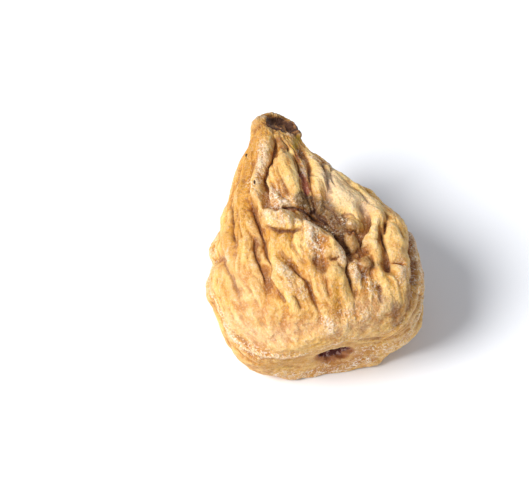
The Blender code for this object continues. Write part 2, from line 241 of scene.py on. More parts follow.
# Creases of the front, each in the bottom or at the edge of a fold: a name, half width and depth in
# millimetres, the rise of its banks to the left and right of someone who walks along it, and the pixels of
# the photograph that it runs through. A depth below zero makes a low ridge or knob.
FRONT_CREASES = (
    ("neck crease", 0.28, 0.55, 0.2, 0.0, (273.8, 134), (275.5, 141.3), (275.7, 148.4), (273.8, 158.2),
     (270.2, 167.1), (266.6, 176.1), (265.7, 181.4), (268.4, 190.4), (269.3, 199.3), (271.1, 209.1)),
    ("crease over the roll", 0.32, 0.9, 0.0, 0.5, (270.6, 206), (272, 209.6), (276.4, 210.4), (285.4, 209.1),
     (294.3, 208.7), (301.4, 210.4), (306.8, 213.6), (312.1, 218), (318, 222), (325.7, 228.5)),
    ("crease right of the roll", 0.3, 0.65, 0.0, 0.4, (324, 227.5), (333.9, 236.1), (339, 243.3),
     (343.1, 250.4), (345.6, 258.6), (346.1, 265.7), (347.1, 273.9), (350.2, 281), (352.2, 291.2),
     (353.3, 300.4)),
    ("crease at the roll's tip", 0.28, 0.6, 0.0, 0.0, (329.8, 260), (333, 259.3), (337, 258.8), (341, 256)),
    ("roll's brown hollow", 0.6, 0.2, 0.0, 0.0, (314.5, 258.6), (316, 263), (319.6, 265.2)),
    ("cross crease", 0.32, 0.6, 0.3, 0.0, (263.9, 226.1), (270.2, 227.9), (280, 230.5), (288, 230.9),
     (294.3, 231), (298.4, 228.8), (302, 225)),
    ("left groove", 0.3, 0.55, 0.2, 0.0, (250.5, 197), (251.4, 202.9), (254.1, 212.7), (257.7, 222.5),
     (260.8, 231), (263.3, 240.2), (265.3, 250.4), (267.3, 257.6), (270, 266), (270.4, 275.9), (270, 283)),
    ("left groove's branch", 0.3, 0.45, 0.0, 0.2, (255.6, 234), (255.1, 244), (255.8, 255.5), (259.2, 265.7),
     (262.2, 272.9), (265.3, 281), (266.8, 290.2)),
    ("outer left groove", 0.3, 0.6, 0.0, 0.0, (231.4, 204), (231.6, 214), (233, 226), (233.9, 238.2),
     (237, 245)),
    ("second outer groove", 0.3, 0.4, 0.0, 0.0, (238.2, 212), (238.9, 222), (240.2, 232), (243, 240)),
    ("lower left groove", 0.4, 0.35, 0.0, 0.0, (223.5, 260), (226.5, 268.8), (231.6, 278), (235.7, 288.2),
     (240.8, 297)),
    ("panel's left edge", 0.3, 0.35, 0.0, 0.0, (276, 163), (277.8, 172), (281.4, 180), (285.2, 188),
     (289.4, 195)),
    ("panel's upper edge", 0.3, 0.35, 0.0, 0.0, (276.5, 156), (279.5, 153.2), (283.5, 151.6),
     (287.5, 150.5)),
    ("stem's front lip", 0.4, -0.35, 0.0, 0.0, (259, 122), (263, 118.6), (268.5, 119.2), (272.6, 122.5),
     (276.2, 127.5), (280.4, 131.8), (286, 135.2), (292, 139)),
    ("panel's foot", 0.28, 0.3, 0.0, 0.0, (268.4, 180.5), (272.9, 185), (278.2, 191), (283.6, 196.5),
     (290.7, 201.2), (297.9, 204.6)),
    ("crease right of the panel", 0.25, 0.4, 0.0, 0.0, (290, 148), (292.5, 153.5), (296.1, 161.8),
     (298.8, 170.7), (299.6, 179.6), (301.4, 190.4), (304.1, 199.3)),
    ("crease left of the crown ridge", 0.28, 0.5, 0.0, 0.0, (299, 145), (301.4, 150.2), (305.9, 158.2),
     (308.6, 165.4), (309.5, 177), (310.4, 190.4), (313.4, 199.5), (314.4, 206.4), (315.2, 213)),
    ("crown valley", 0.35, 0.6, 0.0, 0.0, (319, 158), (323.5, 165.4), (326, 175), (329.1, 186), (332, 194)),
    ("shoulder crease", 0.3, 0.5, 0.0, 0.0, (329.4, 166), (330.3, 173), (333, 181), (338.5, 190)),
    ("pit's lower line", 0.35, 0.7, 0.0, 0.0, (312.1, 217.1), (315.7, 214.5), (320, 216.5), (325, 220),
     (330, 225.2), (334.5, 229.6), (337.8, 235.5)),
    ("pit's upper line", 0.28, 0.5, 0.0, 0.0, (321, 204), (328.2, 208.3), (333.6, 212.7), (337.6, 219.8),
     (341, 225.5)),
    ("crease over the first knob", 0.3, 0.6, 0.0, 0.0, (341, 225.5), (345.5, 229), (350, 231), (356, 231.6),
     (361, 234.5)),
    ("crease left of the first knob", 0.3, 0.7, 0.0, 0.0, (342.4, 233.5), (341.6, 239), (343.4, 245),
     (346.5, 249.6), (350.2, 251.4)),
    ("crease right of the first knob", 0.3, 0.6, 0.0, 0.0, (367, 212), (369.4, 220), (369.1, 228.6),
     (364.9, 237.5), (362.5, 245), (361.4, 252)),
    ("pit's dark line", 0.3, 0.5, 0.0, 0.0, (311, 196), (313.5, 203), (315.5, 209), (316, 215)),
    ("first knob", 1.4, -0.3, 0.0, 0.0, (345, 223), (352, 221), (360, 224)),
    ("crease above the first knob", 0.25, 0.35, 0.0, 0.0, (338, 219), (342, 215.5), (347.5, 213.8),
     (353, 214), (358, 218), (364, 223)),
    ("crease below the second knob", 0.25, 0.3, 0.0, 0.0, (343.5, 250.5), (348, 253.5), (354, 253.5),
     (359, 250.5)),
    ("fourth knob", 1.1, -0.3, 0.0, 0.0, (377, 249), (380.5, 256), (381, 263)),
    ("second outer cut", 0.2, 0.25, 0.0, 0.0, (410, 284), (416, 285), (422, 283)),
    ("third outer cut", 0.2, 0.25, 0.0, 0.0, (410.5, 291), (416, 294.5), (422, 296)),
    ("second knob", 1.3, -0.6, 0.0, 0.0, (346, 242), (351, 239), (356, 242), (356, 248)),
    ("third knob", 1.2, -0.5, 0.0, 0.0, (362, 256), (367, 261), (366, 268)),
    ("line across the ridge", 0.25, 0.25, 0.0, 0.0, (367.5, 237.5), (374, 238.5), (380, 240)),
    ("crease round the third knob", 0.28, 0.2, 0.0, 0.0, (361.4, 250), (359.8, 258), (358.9, 264),
     (361, 270.5), (364.5, 273.5), (369.6, 274.4), (373.5, 270.5)),
    ("crease right of the second knob", 0.3, 0.45, 0.0, 0.0, (363.5, 251.4), (368.5, 253), (371.5, 257.5),
     (373.3, 263.5), (374.2, 270)),
    ("fine cut by the knobs", 0.25, 0.15, 0.0, 0.0, (372, 243), (373.5, 249), (377, 251), (380.5, 249.5)),
    ("slit of the right shoulder", 0.3, 0.7, 0.0, 0.0, (386.2, 221.4), (385, 229), (384, 236.5)),
    ("right groove", 0.3, 0.65, 0.2, 0.0, (381.2, 228), (381.6, 235), (383, 243), (385.2, 250.4),
     (387.6, 257), (388.6, 264.5), (388.6, 272.6)),
    ("right pit", 0.6, 0.6, 0.0, 0.0, (387.6, 264), (388.8, 272)),
    ("cross cut", 0.25, 0.7, 0.0, 0.0, (389, 264), (393.5, 263), (398.5, 263.4), (405.3, 263.9)),
    ("outer cut", 0.25, 0.4, 0.0, 0.0, (411, 262), (414.5, 262.6), (418, 261.6)),
    ("small pit", 0.4, 0.4, 0.0, 0.0, (377.8, 285.1), (380.4, 288.5), (380.8, 293)),
    ("small pit's tail", 0.28, 0.25, 0.0, 0.0, (380.8, 292), (380.6, 298), (382.4, 304.5)),
    ("centre groove", 0.28, 0.45, 0.0, 0.3, (289.8, 260.6), (294.9, 269.8), (301, 276.9), (306.1, 281.5),
     (309.2, 288), (313.3, 299.4), (318.4, 310.6), (321.4, 317.8)),
    ("short groove", 0.4, 0.35, 0.0, 0.0, (275.5, 287.1), (280.6, 295.3), (286.7, 304.5)),
    ("second short groove", 0.4, 0.4, 0.0, 0.0, (295, 293.5), (299, 302), (302, 310.6)),
    ("belly's right groove", 0.4, 0.35, 0.0, 0.0, (326.5, 276), (327.6, 288), (331.5, 299)),
    ("stem's small crease", 0.25, 0.5, 0.0, 0.0, (281.5, 137), (284, 141), (288.5, 146), (288, 152)),
    ("rim of the base", 0.7, -0.45, 0.0, 0.0, (222, 322), (231, 334), (244, 346), (262, 353.5), (284, 356),
     (303, 353.5), (318, 350)),
    ("crease under the rim", 0.3, 0.25, 0.0, 0.0, (262, 357.5), (276, 360), (290, 360), (304, 356.5)),
    ("rim right of the eye", 0.6, -0.3, 0.0, 0.0, (345, 340), (360, 341), (378, 339), (395, 331),
     (408, 320)),
)

# A crease runs out over a share of its length at either end. What lies across it is counted in its half
# width, which SLIMMER brings down to the real one: the skin beside it is drawn in by PINCH, its banks are
# highest at BANK, and its painted dark line of shade and the painted brown shade round it reach to
# CREASE_MARK and CREASE_SHADE.
CREASE_ENDS = 0.2
SLIMMER = 0.8
CREASE_REACH = 5.0
CREASE_PROFILE = 1.5
PINCH = 0.45
PINCH_REACH = 2.2
BANK = 1.8
BANK_SHARE = 0.5
CREASE_MARK = 0.8
CREASE_SHADE = 2.6

# creased is each crease's painted dark line of shade, which also calms the wrinkles; shaded is the painted
# brown shade round it.
creased = np.zeros(len(places))
shaded = np.zeros(len(places))
for _, half_width, depth, left_bank, right_bank, *pixels in FRONT_CREASES:
    half_width *= SLIMMER
    found, off, run, along = beside(drawn_through(pixels), CREASE_REACH * half_width)
    taper = smooth_step(0, CREASE_ENDS, along) * smooth_step(0, CREASE_ENDS, 1 - along)
    near = np.linalg.norm(off, axis=1) / half_width
    pinched = PINCH * taper * np.exp(-((near / PINCH_REACH) ** 2))
    left = np.einsum("ij,ij->i", np.cross(normals[found], run), off) > 0
    places[found] -= pinched[:, None] * off
    near *= 1 - pinched
    bank = np.where(left, left_bank, right_bank) * (near / BANK) * np.exp(1 - near / BANK)
    height = taper * (BANK_SHARE * bank - depth * np.exp(-near**CREASE_PROFILE))
    places[found] += normals[found] * height[:, None]
    strength = taper * min(depth, 1)
    creased[found] = np.maximum(creased[found], strength * np.exp(-((near / CREASE_MARK) ** 2)))
    shaded[found] = np.maximum(shaded[found], strength * np.exp(-((near / CREASE_SHADE) ** 2)))

# Where the skin changes on the front: for each kind, dabs with a name, their radius in millimetres, their
# strength, and the pixels of the photograph that they run through. Bloom is dried sugar, haze a thin veil
# of it, and net its fine winding lines. Soft takes the hard edge off a fold, and smooth calms the wrinkles.
# Pale is partly the skin's own paler colour and partly painted light on lit slopes and ribs, as haze is on
# the shoulder. Brown is partly the skin's own brown and partly painted shade in hollows and on shaded sides.
# The dabs of the main pit and its valley, and the pit's dark dabs among the pores, are partly painted
# shade. The others are spots and stains of the skin itself.
FRONT_DABS = {
    "bloom": (
        ("rim of the base", 1.3, 0.9, (226, 327), (240, 343), (262, 354), (286, 356), (306, 353)),
        ("rim right of the eye", 0.9, 0.5, (345, 337), (362, 338), (385, 333), (402, 322)),
        ("lower edge", 1.5, 0.6, (274, 376), (300, 380), (330, 377), (362, 365), (392, 349), (412, 330)),
        ("outer right roll", 2.2, 0.75, (408, 228), (416, 250), (422, 275), (423, 298), (417, 318)),
        ("left edge", 1.2, 0.7, (213, 262), (208, 280), (216, 300), (222, 316)),
        ("left shoulder", 1.0, 0.5, (218, 232), (213, 250), (216, 262)),
        ("roll's tip", 1.0, 1.0, (323, 224), (330, 230), (336, 239), (340, 248), (341, 257)),
        ("under the panel", 1.5, 0.7, (271, 190), (276, 199), (284, 204)),
        ("neck", 1.2, 0.8, (262, 142), (262, 156), (261, 170), (259, 182)),
        ("stem's front lip", 0.5, 0.9, (262, 118), (268, 119), (273, 122), (277, 128), (281, 132),
         (290, 138)),
        ("roll", 1.2, 0.5, (262, 214), (275, 219), (288, 221), (300, 219)),
        ("roll's right part", 1.4, 1.0, (304, 216), (311, 226), (315, 238), (317, 249)),
        ("white scab", 0.8, 0.85, (323, 318), (328, 324), (331, 332)),
        ("crown ridge", 0.8, 0.6, (297, 151), (303, 160), (305, 172)),
        ("crown's right edge", 1.2, 0.6, (311, 149), (322, 157), (330, 167)),
        ("beside the centre groove", 1.4, 0.5, (285, 268), (295, 282), (302, 292)),
        ("right of the tail", 1.3, 0.6, (356, 272), (365, 280), (374, 288)),
        ("upper lip of the eye", 0.5, 1.0, (320, 350), (332, 345), (345, 341)),
        ("first knob", 0.8, 0.8, (343, 219), (347, 224)),
        ("second knob", 0.7, 0.6, (347, 237), (353, 236), (358, 240)),
        ("right ridge", 1.2, 0.5, (400, 262), (404, 272), (398, 285)),
        ("below the tail", 1.4, 0.4, (340, 312), (352, 314), (366, 318)),
    ),
    # Dark pores, and the pit's dark core and arm, where the dark is painted shade.
    "pore_and_pit_shade": (
        ("upper pore", 0.24, 1.2, (246.4, 155), (247, 156.2)),
        ("lower pore", 0.24, 1.2, (254, 181), (254.4, 182.2)),
        ("pit's core", 0.45, 0.9, (309, 214), (314, 212), (318, 217), (326, 224)),
        ("pit's upper arm", 0.35, 0.9, (311, 197), (313.5, 204), (315, 211)),
    ),
    "olive": (
        ("fold's end beside the scar", 1.0, 0.75, (299, 137), (305, 140)),
    ),
    "ochre": (
        ("clear stripe", 1.1, 0.9, (338, 286), (338, 298), (337, 308)),
        ("second clear stripe", 0.9, 0.7, (305, 258), (312, 268), (318, 280)),
        ("belly's middle", 1.6, 0.7, (276, 245), (282, 258), (300, 268)),
        ("above the pit", 1.4, 1.0, (320, 190), (325, 199), (334, 206)),
        ("under the cross crease", 1.5, 0.9, (268, 234), (282, 237), (295, 237)),
        ("base", 2.0, 0.8, (268, 366), (290, 363), (310, 359), (324, 352)),
        ("right of the eye", 1.0, 0.9, (349, 344), (356, 345), (362, 350)),
        ("left neck", 2.8, 1.1, (255, 138), (246, 166), (240, 190)),
        ("left lobe", 1.3, 0.5, (218, 268), (222, 284), (230, 292)),
        ("left side", 3.4, 1.1, (242, 205), (236, 230), (228, 256)),
    ),
    # Pale: partly the skin's own paler colour, partly painted light on lit slopes, ribs and the shoulder.
    "pale": (
        ("panel", 1.7, 0.5, (282, 158), (284, 172), (288, 184)),
        ("pale rib", 0.9, 1.0, (290, 152), (294, 168), (297, 182), (299, 196)),
        ("crown ridge's left", 0.9, 0.8, (306, 149), (312, 158), (316, 172), (318, 188)),
        ("shoulder", 3.0, 1.0, (330, 176), (342, 192), (356, 206)),
        ("shoulder's edge", 1.6, 1.0, (332, 164), (348, 182), (364, 196), (382, 210)),
        ("belly's left", 3.0, 0.45, (228, 262), (240, 290), (256, 312)),
        ("lower left", 2.6, 0.4, (228, 318), (250, 330), (275, 336)),
        ("under the roll", 1.6, 0.3, (276, 242), (286, 250), (296, 254)),
        ("roll's right part", 1.1, 0.9, (299, 224), (298, 237), (300, 250)),
        ("ridge left of the right groove", 1.0, 0.7, (376, 214), (374, 228), (372, 240)),
        ("ridge right of the right groove", 1.1, 0.3, (392, 222), (394, 238), (393, 252)),
    ),
    # Haze: a thin veil of sugar; on the shoulder it also paints light.
    "haze": (
        ("belly's left", 3.2, 0.3, (228, 262), (240, 290), (256, 312)),
        ("lower left", 3.0, 0.45, (230, 320), (250, 332), (276, 338)),
        ("lower belly", 2.4, 0.35, (290, 332), (330, 328), (372, 326)),
        ("shoulder", 3.0, 0.75, (330, 176), (342, 192), (362, 204)),
        ("outer right roll", 2.2, 0.3, (412, 232), (418, 262), (419, 292), (412, 316)),
        ("under the tail", 2.2, 0.35, (354, 306), (372, 306), (394, 300)),
    ),
    "net": (
        ("right of the eye", 2.0, 1.0, (352, 349), (366, 350), (382, 347)),
        ("below the eye", 1.5, 0.9, (326, 366), (348, 364), (368, 358)),
        ("lower edge", 1.4, 1.0, (280, 374), (310, 376), (340, 372)),
        ("left pores", 1.0, 0.9, (250, 181), (253, 188)),
        ("main pit", 2.3, 0.2, (304, 203), (314, 211), (326, 219)),
        ("roll", 1.4, 0.7, (282, 214), (296, 218)),
        ("under the panel", 1.6, 0.8, (271, 190), (278, 199), (288, 205)),
        ("crown's right edge", 1.2, 0.8, (311, 149), (322, 157), (330, 167)),
        ("outer right roll", 2.2, 0.6, (412, 232), (418, 262), (418, 292)),
        ("right of the tail", 1.6, 0.6, (352, 268), (366, 282), (376, 290)),
        ("roll's right part", 1.1, 0.8, (306, 218), (314, 234), (318, 252)),
    ),
    "soft": (
        ("roll's end", 1.3, 1.0, (303, 216), (303, 223), (303, 232)),
    ),
    "smooth": (
        ("panel", 1.9, 1.0, (281, 156), (285, 170), (290, 190)),
        ("crown", 1.5, 0.8, (307, 152), (313, 166), (318, 186)),
        ("shoulder", 2.6, 0.6, (336, 182), (346, 196), (356, 206)),
        ("first knob", 1.2, 0.6, (350, 238), (358, 242)),
    ),
    # Brown: partly the skin's own brown, partly painted shade in hollows, pits, under overlaps and on shaded
    # sides.
    "brown": (
        ("below the scar", 1.2, 0.9, (279, 139), (283, 147)),
        ("neck's inner side", 0.8, 0.6, (272, 166), (267, 176), (266, 188)),
        ("panel's brown wedge", 0.8, 0.8, (281, 180), (284, 187), (287, 194)),
        ("crown valley", 1.1, 0.7, (321, 165), (325, 175), (329, 187)),
        ("roll's brown hollow", 1.1, 0.9, (315, 258), (318, 265), (322, 270)),
        ("between the roll's parts", 0.9, 0.5, (322, 240), (325, 250), (330, 258)),
        ("left hollow", 0.8, 0.9, (257, 240), (257, 250), (259, 260)),
        ("knobs", 2.3, 1.1, (350, 232), (352, 248), (366, 262)),
        ("right pit", 1.0, 0.8, (387, 262), (388, 272)),
        ("grey patch", 1.8, 0.85, (396, 306), (399, 322)),
        ("left pores", 0.7, 0.6, (252, 182), (251, 188)),
        ("left neck's shade", 1.6, 0.45, (252, 146), (246, 168), (241, 190)),
        ("roll's tip", 1.4, 0.5, (327, 234), (332, 244), (335, 252)),
        ("small pit", 0.9, 0.8, (380, 290), (380, 300)),
        ("outer roll's upper end", 1.3, 1.0, (404, 220), (408, 234), (409, 250)),
        ("outer roll's shade", 1.4, 1.0, (410, 232), (411, 262), (408, 290), (407, 306)),
    ),
    # The dark of the main pit and its valley: partly their own dark colour, partly painted shade in the
    # recess.
    "pit_stain_and_shade": (
        ("main pit", 2.0, 1.4, (305, 201), (310, 207), (318, 214), (326, 221)),
        ("valley", 2.1, 1.3, (322, 210), (330, 218), (338, 228)),
        ("valley's end", 0.8, 0.9, (336, 230), (340, 239), (344, 248), (347, 255)),
        ("above the pit", 1.2, 0.5, (322, 200), (330, 207)),
    ),
    "red": (
        ("red groove", 0.85, 1.2, (301, 175), (304, 183), (306, 191)),
        ("pink ridge", 0.8, 0.55, (296, 152), (300, 162), (304, 172)),
        ("left side's blush", 1.4, 0.25, (221, 250), (226, 262)),
    ),
}
DAB_REACH = 2.2


def dabbed(dabs):
    """How strongly one kind of dab marks each place: 1 is a whole mark."""
    marked = np.zeros(len(places))
    for _, radius, strength, *pixels in dabs:
        found, off, _, _ = beside(drawn_through(pixels), DAB_REACH * radius)
        near = np.linalg.norm(off, axis=1) / radius
        marked[found] = np.maximum(marked[found], strength * np.exp(-near**2))
    return marked


marks = {kind: dabbed(dabs) for kind, dabs in FRONT_DABS.items()}
marks["creased"] = creased
marks["shaded"] = shaded

SOFT_EVENINGS = 40
places += (evened(places, SOFT_EVENINGS) - places) * marks.pop("soft")[:, None]

# Wrinkles between the creases, in sets from coarse to fine: how many go round the fruit, how long they are
# and how deep, in millimetres. They run from the eye's pole to the stem's over a ball round the fruit's
# middle, wander a little, grow up between two angles from either pole, and are calmer in the creases and
# where the skin is smooth. Each set has a stretch of the noise to itself.
WRINKLES = ((40, 12.0, 0.34), (84, 6.0, 0.2), (170, 3.2, 0.1))
WRINKLE_SETS_APART = 10
FRUIT_MIDDLE = np.array((0.0, 0.0, 17.0))
BALL_RADIUS = 21.0
WANDER = 0.12
WANDER_SIZE = 6.0
WRINKLED_FROM_EYE = (0.3, 1.3)
WRINKLED_FROM_STEM = (0.0, 0.5)
NOISE_MIDDLE = 0.22
NOISE_SPREAD = 2
CREASE_CALM = 0.75
SMOOTH_CALM = 0.75

own_places = (places - EYE_PLACE) @ own_axes
outward = own_places - FRUIT_MIDDLE
outward /= np.linalg.norm(outward, axis=1)[:, None]
polar = np.arccos(np.clip(-outward[:, 2], -1, 1))
turn = np.arctan2(outward[:, 0], -outward[:, 1])
turn += WANDER * noise_at(own_places / WANDER_SIZE)
circle = np.column_stack([np.sin(turn), np.cos(turn)])
calm = above_flat_spot * (1 - CREASE_CALM * creased) * (1 - SMOOTH_CALM * marks.pop("smooth"))
wrinkled = smooth_step(*WRINKLED_FROM_EYE, polar) * smooth_step(*WRINKLED_FROM_STEM, math.pi - polar)
for n, (count, length, depth) in enumerate(WRINKLES):
    drawn_out = polar * BALL_RADIUS / length + WRINKLE_SETS_APART * n
    waves = np.abs(noise_at(np.column_stack([circle * count / (2 * math.pi), drawn_out])))
    rise = depth * (waves - NOISE_MIDDLE) * NOISE_SPREAD
    places += normals * (rise * calm * wrinkled)[:, None]

# Puckers all over the skin: their size and their height in millimetres.
PUCKERS = ((1.6, 0.16), (0.8, 0.08), (0.45, 0.05))
PUCKER_NOISE = 20.0
for size, depth in PUCKERS:
    places += normals * (depth * noise_at(own_places / size + PUCKER_NOISE) * calm)[:, None]

# The eye: a round opening, whose lip dried in uneven folds and which its dried scales close. Distances from
# its middle count its radius as 1, and a pair gives where something starts and where it is whole. Nothing of
# it is further than EYE_SIDE from its pole, as an angle.
EYE_MIDDLE = np.array((0.25, 1.75))
EYE_RADIUS = 2.3
EYE_SIDE = 0.6
FAR_FROM_EYE = 9.0
LIP_FOLDS = 7
LIP_BEND = 3
LIP_BEND_SIZE = 2.0
LIP_NICK = 2
LIP_NICK_SIZE = 1.2
LIP_NOISE = 60.0
LIP_MIDDLE = 1.1
LIP_WIDTH = 0.35
LIP_WAVE = 0.3
EYE_SINKS = 0.1
EYE_SUNK = (1.2, 0.8)
EYE_DEEP = (0.25, 0.9)
EYE_DEEP_REACH = 1.8
SCALES = 9
SCALE_SWIRL = 2.2
SCALE_HEIGHT = 0.6
SCALE_MIDDLE = 0.6
SCALES_TO_LIP = (1.15, 0.75)
SCALES_TO_MIDDLE = (0.05, 0.5)
EYE_MARK = (1.25, 0.7)
EYE_EDGE_MARK = (1.9, 1.1)
EYE_RING_MARK = (2.6, 1.1)

from_eye = own_places[:, :2] - EYE_MIDDLE
eye_distance = np.linalg.norm(from_eye, axis=1) / EYE_RADIUS
eye_distance[polar > EYE_SIDE] = FAR_FROM_EYE
eye_turn = np.arctan2(from_eye[:, 1], from_eye[:, 0])
lip_waves = np.sin(eye_turn * LIP_FOLDS + LIP_BEND * noise_at(own_places / LIP_BEND_SIZE))
lip_waves += LIP_NICK * noise_at(own_places / LIP_NICK_SIZE + LIP_NOISE)
lip = np.exp(-(((eye_distance - LIP_MIDDLE) / LIP_WIDTH) ** 2))
from_middle = from_eye @ own_axes[:, :2].T / (EYE_RADIUS * eye_distance)[:, None]
places += from_middle * (LIP_WAVE * lip_waves * lip)[:, None]
places += EYE_SINKS * smooth_step(*EYE_SUNK, eye_distance)[:, None] * own_axes[:, 2]
scales = np.abs(np.sin(eye_turn * SCALES / 2 + SCALE_SWIRL * eye_distance)) - SCALE_MIDDLE
scaly = smooth_step(*SCALES_TO_LIP, eye_distance) * smooth_step(*SCALES_TO_MIDDLE, eye_distance)
places += normals * (SCALE_HEIGHT * scales * scaly)[:, None]
# The eye is darkened over its opening and down into its depth: partly its own dark red, partly painted shade
# in the hollow.
deep = smooth_step(*EYE_DEEP, own_places[:, 2]) * (eye_distance < EYE_DEEP_REACH)
marks["eye"] = np.maximum(smooth_step(*EYE_MARK, eye_distance), deep)
marks["eye_edge"] = smooth_step(*EYE_EDGE_MARK, eye_distance)
marks["eye_ring"] = smooth_step(*EYE_RING_MARK, eye_distance)

# The scar where the stem broke off: pith and torn fibres, in a ragged rim. Distances from its middle count
# its radius as 1, as for the eye, and the scar is a little shorter along the fruit than across.
SCAR_MIDDLE = np.array((1.7, -0.9, 42.4))
SCAR_RADIUS = 4.1
SCAR_SHORTER = (1, 1, 1.3)
SCAR_MARK = (1.0, 0.8)
SCAR_RIM_MARK = (1.7, 1.1)
FIBRE_ROUND = 1.5
FIBRE_ACROSS = 5.0
FIBRE_MIDDLE = 0.5
FIBRE_DEPTH = 0.35
PITH_RAISED = 0.5
PITH = (0.9, 0.3)
TORN = ((1.6, 0.6), (0.55, 0.2))
TORN_NOISE = 40.0

from_scar = own_places - SCAR_MIDDLE
scar_distance = np.linalg.norm(from_scar * SCAR_SHORTER, axis=1) / SCAR_RADIUS
scar_turn = np.arctan2(from_scar[:, 1], from_scar[:, 0])
marks["scar"] = smooth_step(*SCAR_MARK, scar_distance)
marks["scar_rim"] = smooth_step(*SCAR_RIM_MARK, scar_distance)
fibres = np.column_stack([np.cos(scar_turn), np.sin(scar_turn), scar_distance * FIBRE_ACROSS / FIBRE_ROUND])
marks["fibre"] = (FIBRE_MIDDLE + noise_at(fibres * FIBRE_ROUND)) * marks["scar"]
raised = FIBRE_DEPTH * (marks["fibre"] - FIBRE_MIDDLE) * marks["scar"]
raised += PITH_RAISED * smooth_step(*PITH, scar_distance)
places += normals * raised[:, None]
for size, depth in TORN:
    places += normals * (depth * noise_at(own_places / size + TORN_NOISE) * marks["scar_rim"])[:, None]

places[:, 2] = np.maximum(places[:, 2], 0)

# How deep each place lies under the skin round it: in a dip, in a fold, or in a whole valley of them. More
# rounds of evening take in more of the skin round it, and crests come out below zero. The skin is painted
# lighter on the crests, a painted highlight, and browner in the hollows, partly its own colour and partly
# painted shade.
HOLLOWS = {"dip": 12, "fold": 45, "valley": 150}
normals = normals_of(skin, places)
for kind, rounds in HOLLOWS.items():
    marks[kind] = np.einsum("ij,ij->i", evened(places, rounds) - places, normals)
for kind, values in marks.items():
    layer = skin.attributes.new(kind, "FLOAT", "POINT")
    layer.data.foreach_set("value", values.astype(np.float32))

# The way of the skin's grain, in millimetres: round the fruit, whose girth shrinks towards either pole, and
# from the eye to the stem.
GIRTH_RADIUS = 17.0
NARROWS_TO_EYE = (0.0, 0.9)
NARROWS_TO_STEM = (0.0, 0.25)
girth = GIRTH_RADIUS * smooth_step(*NARROWS_TO_EYE, polar) * smooth_step(*NARROWS_TO_STEM, math.pi - polar)
grain = np.column_stack([circle * girth[:, None], polar * BALL_RADIUS])
layer = skin.attributes.new("grain", "FLOAT_VECTOR", "POINT")
layer.data.foreach_set("vector", grain.astype(np.float32).ravel())

skin.vertices.foreach_set("co", (places * MM).astype(np.float32).ravel())
skin.shade_smooth()
fig = bpy.data.objects.new("dried_fig_skin", skin)
bpy.context.scene.collection.objects.link(fig)


class Shade:
    """A value in a material. Python's operators on it add Math nodes, and node() adds any other kind."""

    def __init__(self, tree, socket=None):
        self.tree = tree
        self.socket = socket

    def node(self, kind, settings, inputs, output=0):
        made = self.tree.nodes.new(kind)
        for name, value in settings.items():
            setattr(made, name, value)
        for name, value in inputs.items():
            if isinstance(value, Shade):
                self.tree.links.new(value.socket, made.inputs[name])
            else:
                made.inputs[name].default_value = value
        return Shade(self.tree, made.outputs[output])

    def math(self, operation, first, second):
        return self.node("ShaderNodeMath", {"operation": operation}, {0: first, 1: second})

    def __add__(self, other):
        return self.math("ADD", self, other)

    __radd__ = __add__

    def __sub__(self, other):
        return self.math("SUBTRACT", self, other)

    def __rsub__(self, other):
        return self.math("SUBTRACT", other, self)

    def __mul__(self, other):
        return self.math("MULTIPLY", self, other)

    __rmul__ = __mul__

    def step(self, low, high):
        """From 0 at low to 1 at high, smoothly."""
        settings = {"interpolation_type": "SMOOTHSTEP"}
        return self.node("ShaderNodeMapRange", settings, {"Value": self, "From Min": low, "From Max": high})


def paint(red, green, blue):
    """A colour as it's seen, from 0 to 255, as the light that it sends back."""
    return (*(((part / 255 + 0.055) / 1.055) ** 2.4 for part in (red, green, blue)), 1.0)


def mixed(share, first, second):
    """The second colour over the first, as strongly as share says."""
    colours = {"data_type": "RGBA"}
    return share.node("ShaderNodeMix", colours, {0: share, 6: first, 7: second}, 2)


finish = bpy.data.materials.new("dried_fig_skin")
finish.use_nodes = True
shader = finish.node_tree.nodes["Principled BSDF"]
start = Shade(finish.node_tree)


def mark(kind):
    """One kind of mark on the skin, as strong as it was drawn."""
    return start.node("ShaderNodeAttribute", {"attribute_name": kind}, {}, "Fac")


def mottle(over, size, detail=2.0):
    """Soft cloudy noise, from about 0.2 to 0.8, whose clouds have the given size."""
    inputs = {"Vector": over, "Scale": 1 / size, "Detail": detail}
    return start.node("ShaderNodeTexNoise", {}, inputs, "Fac")


def scattered(kind, by, spread=0.9):
    """A mark whose edge is broken up by a mottle."""
    return (mark(kind) + (by - 0.5) * spread).step(0.3, 0.8)


# The colours of the bare skin, of its spots and stains, of the sugar on it, and of the eye and the scar.
# CREAM also paints highlights on crests and lit slopes, and AMBER, BROWN and DARK also paint shade in folds,
# creases, pits and hollows.
GOLD = paint(226, 168, 74)
HONEY = paint(196, 130, 52)
CREAM = paint(246, 208, 132)
AMBER = paint(190, 122, 44)
BROWN = paint(140, 82, 36)
DARK = paint(66, 34, 20)
OCHRE = paint(208, 146, 48)
# The pit's dark olive-brown, which also paints the shade in it.
PIT_STAIN_AND_SHADE_COLOUR = paint(108, 76, 36)
OLIVE = paint(186, 146, 48)
RED = paint(140, 58, 48)
BLOOM = paint(238, 212, 182)
SUGAR = paint(252, 240, 222)
EYE_DARK = paint(112, 54, 44)
EYE_EDGE = paint(148, 64, 44)
EYE_SCALE = paint(228, 184, 164)
EYE_SKIN = paint(206, 138, 66)
SCAR_DARK = paint(84, 50, 30)
SCAR_LIGHT = paint(172, 120, 74)

# The patterns that break the colours up, by the size of their clouds: in metres, and along the grain in
# millimetres, where they are drawn out by GRAIN_STRETCH.
BROAD = 0.006
PATCHY = 0.0018
NETTED = 0.0011
FINE = 0.0006
SPECK = 0.00034
GRAINY = 0.00022
STREAKY = 1.1
GRAIN_STRETCH = 4
LINE_WIDTH = 0.035

